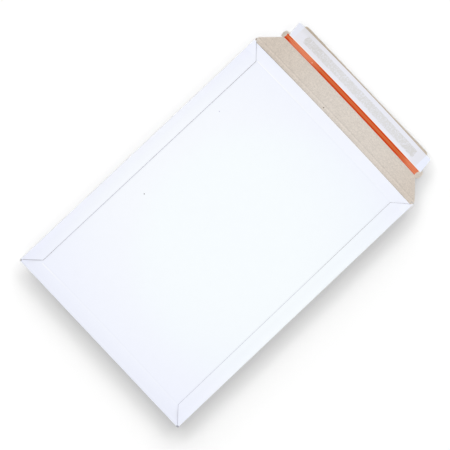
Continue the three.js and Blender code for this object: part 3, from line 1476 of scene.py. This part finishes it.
@dataclass
class CreasedStrip:
    """Board between pocket and flap, in two strips that each bend at one crease."""

    places: Places
    root: FlapRoot
    root_end: float
    start_under_cover: float = 0.7
    bend_half: float = 0.5
    rows: int = 8
    wing_start: float = 142.62
    wing_top: float = 143.0
    widest: float = 116.5

    def reach(self, side: Side, y: float) -> float:
        """Works out how far the board reaches to one side: it widens past the pocket's tip, then slants in.

        Args:
            side: The side.
            y: Place along Y.

        Returns:
            The way from the middle.
        """
        half = self.places.spine_half
        share = (y - self.wing_start) / (self.wing_top - self.wing_start)
        return min(self.root.reach(side, y), half + (self.widest - half) * min(1.0, max(0.0, share)))

    def strip(self, name: str, ends: Span, crease: float, layers: Layers) -> Bench:
        """Models one strip with closer rows at its crease.

        Args:
            name: Name of the piece.
            ends: Where the strip starts and ends along Y.
            crease: Where it bends.
            layers: Materials by slot.

        Returns:
            The bench with the thickened strip.
        """
        half = self.places.spine_half
        start, end = ends
        bench = Bench(name, (-half, start, 0), (half, end, 0), layers)
        bends = [crease + self.bend_half * (2 * row / self.rows - 1) for row in range(self.rows + 1)]
        inner = [row for row in (self.wing_start, self.wing_top, *bends) if start < row < end]
        for row in inner:
            bench.bisect_all((0, row, 0), (0, 1, 0))
        for row in (start, *inner, end):
            for side in Side:
                bench.pick(at(x=side.value * half, y=row))
                bench.move((side.value * (self.reach(side, row) - half), 0, 0))
        bench.flip()
        bench.thicken(self.places.board)
        return bench

    def build(self, layers: Layers) -> None:
        """Models both strips and finishes them, in place of the frame's spine.

        Args:
            layers: Materials by slot.
        """
        p = self.places
        start = p.mouth - self.start_under_cover
        middle = (p.first_crease + p.second_crease) / 2
        for name, ends, crease, bodies in (
            ("mouth_crease", (start, middle), p.first_crease, ("pocket", "spine")),
            ("flap_crease", (middle, self.root_end), p.second_crease, ("spine", "flap")),
        ):
            piece = self.strip(name, ends, crease, layers).finish()
            bend = self.bend_half * MM
            crease * MM - bend
            crease * MM + bend
            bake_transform(piece)
            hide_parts("flap_spine")


@dataclass
class FlapBoard:
    """Closing flap with its shoulders, ears and sealing part."""

    places: Places
    past_crease: float = 1.05
    shoulder_drop: float = 15.9
    shoulder_inset: float = 17.9
    edge_tilt: Span = (-0.35, 0.12)
    ear_reach: float = 2.9
    ear_rise: float = 1.0
    ear_length: float = 9.8
    left_ear_trim: Span = (0.5, -1.4)
    seal_inset: float = 26.5
    ear_top_radius: float = 2.8
    ear_low_radius: float = 2.0
    seal_radius: float = 2.5
    inner_radius: float = 0.6
    corner_steps: int = 6

    def __post_init__(self) -> None:
        """Works out the flap's corners and the slanted edges below its shoulders."""
        p = self.places
        self.root_y = p.second_crease + self.past_crease
        self.shoulder = p.second_crease + self.shoulder_drop
        self.shoulder_x = p.side - self.shoulder_inset
        self.ear_x = self.shoulder_x + self.ear_reach
        self.ear_end = self.shoulder + self.ear_length
        self.seal_x = p.side - self.seal_inset
        self.free_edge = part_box("closing_flap")[1].y / MM
        self.root = FlapRoot(self.shoulder, self.shoulder_x)

    def outline(self, bench: Bench) -> None:
        """Slants the flap's root and adds the ears and the sealing part.

        Args:
            bench: The bench with the level plane between root and shoulders.
        """
        for side in Side:
            bench.pick(at(x=side.value * self.shoulder_x, y=self.root_y))
            bench.move((side.value * (self.root.reach(side, self.root_y) - self.shoulder_x), 0, 0))
        bench.pick(at(y=self.shoulder), Pick.EDGES)
        bench.extrude((0, self.ear_length, 0))
        for side in Side:
            bench.bisect_all((side.value * self.seal_x, 0, 0), (1, 0, 0))
        for side in Side:
            flank = at(x=side.value * self.shoulder_x)
            bench.pick(lambda point: flank(point) and point.y > self.shoulder - NEAR, Pick.EDGES)
            bench.extrude((side.value * self.ear_reach, 0, 0))
            bench.pick(at(x=side.value * self.ear_x, y=self.shoulder))
            bench.move((0, self.ear_rise, 0))
        ear_line = at(y=self.ear_end)
        bench.pick(lambda point: ear_line(point) and abs(point.x) < self.seal_x + NEAR, Pick.EDGES)
        bench.extrude((0, self.free_edge - self.ear_end, 0))
        bench.dissolve()

    def trim(self, bench: Bench) -> None:
        """Trims the left ear, rounds the corners and sets the flap a little askew.

        Args:
            bench: The bench with the flap's outline.
        """
        trim_x, trim_y = self.left_ear_trim
        bench.pick(at(x=-self.ear_x, y=self.ear_end))
        bench.move((trim_x, trim_y, 0))
        ear_low = self.shoulder + self.ear_rise
        left_ear = (trim_x - self.ear_x, trim_y + self.ear_end)
        for radius, corners in (
            (self.seal_radius, ((-self.seal_x, self.free_edge), (self.seal_x, self.free_edge))),
            (self.ear_top_radius, (left_ear, (self.ear_x, self.ear_end))),
            (self.ear_low_radius, ((-self.ear_x, ear_low), (self.ear_x, ear_low))),
            (self.inner_radius, ((-self.shoulder_x, self.shoulder), (self.shoulder_x, self.shoulder))),
            (self.inner_radius, ((-self.seal_x, self.ear_end), (self.seal_x, self.ear_end))),
        ):
            bench.pick(lambda point: any(at(x=x, y=y)(point) for x, y in corners))
            bench.bevel(radius, self.corner_steps, points=True)
        bench.pick(lambda point: point.y > self.root_y + NEAR)
        bench.move((self.root.skew, 0, 0))
        seal_low = self.free_edge - self.seal_radius - NEAR
        for side, tilt in zip(Side, self.edge_tilt):
            bench.pick(lambda point: point.y > seal_low and point.x * side.value > 0)
            bench.move((0, tilt, 0))

    def build(self, layers: Layers) -> Bench:
        """Models the flap.

        Args:
            layers: Materials by slot.

        Returns:
            The bench with the thickened flap.
        """
        x = self.shoulder_x
        bench = Bench("flap_board", (-x, self.root_y, 0), (x, self.shoulder, 0), layers)
        self.outline(bench)
        self.trim(bench)
        bench.flip()
        bench.thicken(self.places.board)
        return bench

    def dress(self, bench: Bench) -> None:
        """Finishes the piece and hangs it on its body.

        Args:
            bench: The bench with the flap.
        """
        piece = bench.finish()
        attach(piece, "flap")
        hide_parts("closing_flap")


@dataclass(frozen=True)
class StripSpec:
    """Name, CAD node, slot and ends of one thin strip; a slant shifts the upper corner of an end."""

    name: str
    node: str
    slot: str
    ends: Span
    left_slant: float = 0.0
    right_slant: float = 0.0
    notch: float = 0.0
    low_bow: Bow = STRIP_BOW
    high_bow: Bow = STRIP_BOW


@dataclass
class FlapStrips:
    """Tear tape, glue line and release liner on the flap."""

    places: Places
    columns: int = 24
    plain_end: float = 1.0
    tape: StripSpec = StripSpec(
        "tear_film",
        "tear_tape",
        "tape_film",
        (-98.3, 95.8),
        right_slant=0.9,
        notch=0.5,
        low_bow=TAPE_LOW_BOW,
        high_bow=TAPE_HIGH_BOW,
    )
    glue: StripSpec = StripSpec("glue_bead", "adhesive_strip", "glue", GLUE_ENDS)
    liner: StripSpec = StripSpec(
        "liner_strip",
        "release_liner",
        "liner_paper",
        (-96.1, 98.5),
        left_slant=-2.1,
        right_slant=-2.3,
        low_bow=LINER_LOW_BOW,
        high_bow=LINER_HIGH_BOW,
    )

    def strip(self, spec: StripSpec, material: bpy.types.Material) -> None:
        """Models one thin strip over its CAD node, with a slight bow, and hangs it on the flap.

        Args:
            spec: What the strip is.
            material: Its material.
        """
        low, high = (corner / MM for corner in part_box(spec.node))
        middle = (low.y + high.y) / 2
        left, right = spec.ends
        bench = Bench(spec.name, (left, low.y, high.z), (right, high.y, high.z), [material])
        bench.bisect_all((0, middle, 0), (0, 1, 0))
        for x, inwards, slant in ((left, 1, spec.left_slant), (right, -1, spec.right_slant)):
            bench.pick(at(x=x, y=high.y))
            bench.move((slant, 0, 0))
            bench.pick(at(x=x, y=middle))
            bench.move((slant / 2 + inwards * spec.notch, 0, 0))
        inset = spec.notch + max(abs(spec.left_slant), abs(spec.right_slant)) + self.plain_end
        first, last = left + inset, right - inset
        step = (last - first) / self.columns
        for column in range(self.columns + 1):
            bench.bisect_all((first + step * column, 0, 0), (1, 0, 0))
        for column in range(-1, self.columns + 2):
            x = first + step * column
            shifts = [bow.shift(self.places.across(x)) for bow in (spec.low_bow, spec.high_bow)]
            for row, shift in ((low.y, shifts[0]), (middle, sum(shifts) / 2), (high.y, shifts[1])):
                if column < 0:
                    bench.pick(lambda point: point.x < first - NEAR and at(y=row)(point))
                elif column > self.columns:
                    bench.pick(lambda point: point.x > last + NEAR and at(y=row)(point))
                else:
                    bench.pick(at(x=x, y=row))
                bench.move((0, shift, 0))
        bench.thicken(high.z - low.z)
        piece = bench.finish()
        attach(piece, "flap")
        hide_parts(spec.node)

    def build(self) -> None:
        """Models, finishes and hangs the three strips."""
        self.strip(self.tape, OrangeFilm(self.places).material())
        self.strip(self.glue, ClearGlue().material())
        self.strip(self.liner, LinerPaper(self.places).material())


@dataclass(frozen=True)
class FloorLamp:
    """One wide lamp that lights the floor alone, so that the envelope throws a soft shadow there."""

    name: str
    strength: float
    aside: float
    elevation: float
    spread: float


@dataclass
class Studio:
    """Pale floor, soft lamps, white world and the camera over the envelope."""

    floor_drop: float = 5.5
    floor_size: float = 6000.0
    floor_tone: Colour = (0.25, 0.25, 0.25, 1.0)
    floor_glow: float = 0.246
    world_level: float = 0.8
    softbox_power: float = 5.15
    softbox_height: float = 1500.0
    softbox_size: float = 1200.0
    floor_lamps: tuple[FloorLamp, ...] = (
        FloorLamp("low_lamp_left", strength=11.7, aside=-20.0, elevation=8.6, spread=37.8),
        FloorLamp("low_lamp_right", strength=11.2, aside=20.0, elevation=8.6, spread=37.8),
        FloorLamp("side_lamp_left", strength=2.3, aside=-50.0, elevation=24.7, spread=23.9),
        FloorLamp("side_lamp_right", strength=2.28, aside=50.0, elevation=24.7, spread=23.9),
        FloorLamp("near_lamp", strength=1.27, aside=180.0, elevation=28.9, spread=34.7),
    )
    aim: Span = (0.28, -12.63)
    distance: float = 1500.0
    turn: float = 0.81448
    lean: Span = (-0.0211, -0.02803)
    focal_pixels: float = 1470.6
    image_pixels: int = 450
    sensor_width: float = 36.0
    view_end: float = 100.0

    def axes(self) -> tuple[Vector, Vector]:
        """Directions of the picture's right and up on the floor."""
        cosine, sine = math.cos(self.turn), math.sin(self.turn)
        return Vector((cosine, sine, 0)), Vector((-sine, cosine, 0))

    def lay_floor(self) -> bpy.types.Object:
        """Lays the floor, with a glow that only shows in the picture.

        Returns:
            The floor.
        """
        bpy.ops.object.select_all(action="DESELECT")
        bpy.ops.mesh.primitive_plane_add(size=self.floor_size * MM, location=(0, 0, -self.floor_drop * MM))
        floor = bpy.context.active_object
        floor.name = "floor"
        shader = Shader("pale_floor")
        glow = shader.mix(BLACK, WHITE, shader.seen())
        material = shader.done(
            self.floor_tone, Roughness=1.0, Emission_Color=glow, Emission_Strength=self.floor_glow
        )
        floor.data.materials.append(material)
        return floor

    def light_world(self) -> None:
        """Makes the world: white where it is seen, and a little dimmer as a light."""
        world = bpy.data.worlds.new("studio")
        world.use_nodes = True
        nodes = Nodes(world.node_tree)
        level = nodes.node(
            "ShaderNodeMapRange", {}, {"Value": nodes.seen(), "To Min": self.world_level, "To Max": 1.0}
        )
        white = nodes.node("ShaderNodeBackground", {}, {"Color": WHITE, "Strength": level})
        nodes.node("ShaderNodeOutputWorld", {}, {"Surface": white})
        bpy.context.scene.world = world

    def hang_softbox(self) -> None:
        """Hangs the softbox over the envelope."""
        bpy.ops.object.light_add(type="AREA", location=(0, 0, self.softbox_height * MM))
        softbox = bpy.context.active_object
        softbox.name = "softbox"
        softbox.data.energy = self.softbox_power
        softbox.data.size = self.softbox_size * MM

    def light_floor(self, floor: bpy.types.Object) -> None:
        """Sets up the lamps that draw the shadow.

        Args:
            floor: The floor, which alone is lit by them.
        """
        right, up = self.axes()
        lit = bpy.data.collections.new("lit_by_floor_lamps")
        lit.objects.link(floor)
        for spec in self.floor_lamps:
            aside = math.radians(spec.aside)
            elevation = math.radians(spec.elevation)
            level_way = up * math.cos(aside) + right * math.sin(aside)
            towards = level_way * math.cos(elevation) + Vector((0, 0, math.sin(elevation)))
            bpy.ops.object.light_add(type="SUN", location=towards)
            lamp = bpy.context.active_object
            lamp.name = spec.name
            lamp.rotation_euler = towards.to_track_quat("Z", "Y").to_euler()
            lamp.data.energy = spec.strength
            lamp.data.angle = math.radians(spec.spread)
            lamp.light_linking.receiver_collection = lit

    def place_camera(self) -> None:
        """Places the camera nearly straight over the envelope."""
        right, up = self.axes()
        back = (Vector((0, 0, 1)) + self.lean[0] * right + self.lean[1] * up).normalized()
        right = (right - back * right.dot(back)).normalized()
        up = back.cross(right)
        eye = (Vector((*self.aim, 0)) + back * self.distance) * MM
        bpy.ops.object.camera_add()
        camera = bpy.context.active_object
        camera.name = "camera"
        camera.data.sensor_width = self.sensor_width
        camera.data.lens = self.sensor_width * self.focal_pixels / self.image_pixels
        camera.data.clip_end = self.view_end
        turn = Matrix((right, up, back)).transposed().to_4x4()
        camera.matrix_world = Matrix.Translation(eye) @ turn
        bpy.context.scene.camera = camera

    def build(self) -> None:
        """Sets up the whole studio."""
        floor = self.lay_floor()
        self.light_world()
        self.hang_softbox()
        self.light_floor(floor)
        self.place_camera()


def main() -> None:
    """Builds the envelope piece by piece, then the studio round it."""
    logging.basicConfig(level=logging.INFO, format="%(name)s: %(message)s")
    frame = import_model()
    places = Places.of_frame(frame)
    pocket = PocketSheet(places)
    coat = WhiteCoat(places, pocket.score, pocket.bottom_crest, pocket.cover_crest)
    board_layers = [finish.material() for finish in (coat, BareBoard(places), CutCore())]
    pocket.dress(pocket.build(board_layers))
    flap = FlapBoard(places)
    CreasedStrip(places, flap.root, flap.root_y).build(board_layers)
    flap.dress(flap.build(board_layers))
    FlapStrips(places).build()
    Studio().build()
    bpy.context.scene.view_settings.view_transform = "Standard"


if __name__ == "__main__":
    main()
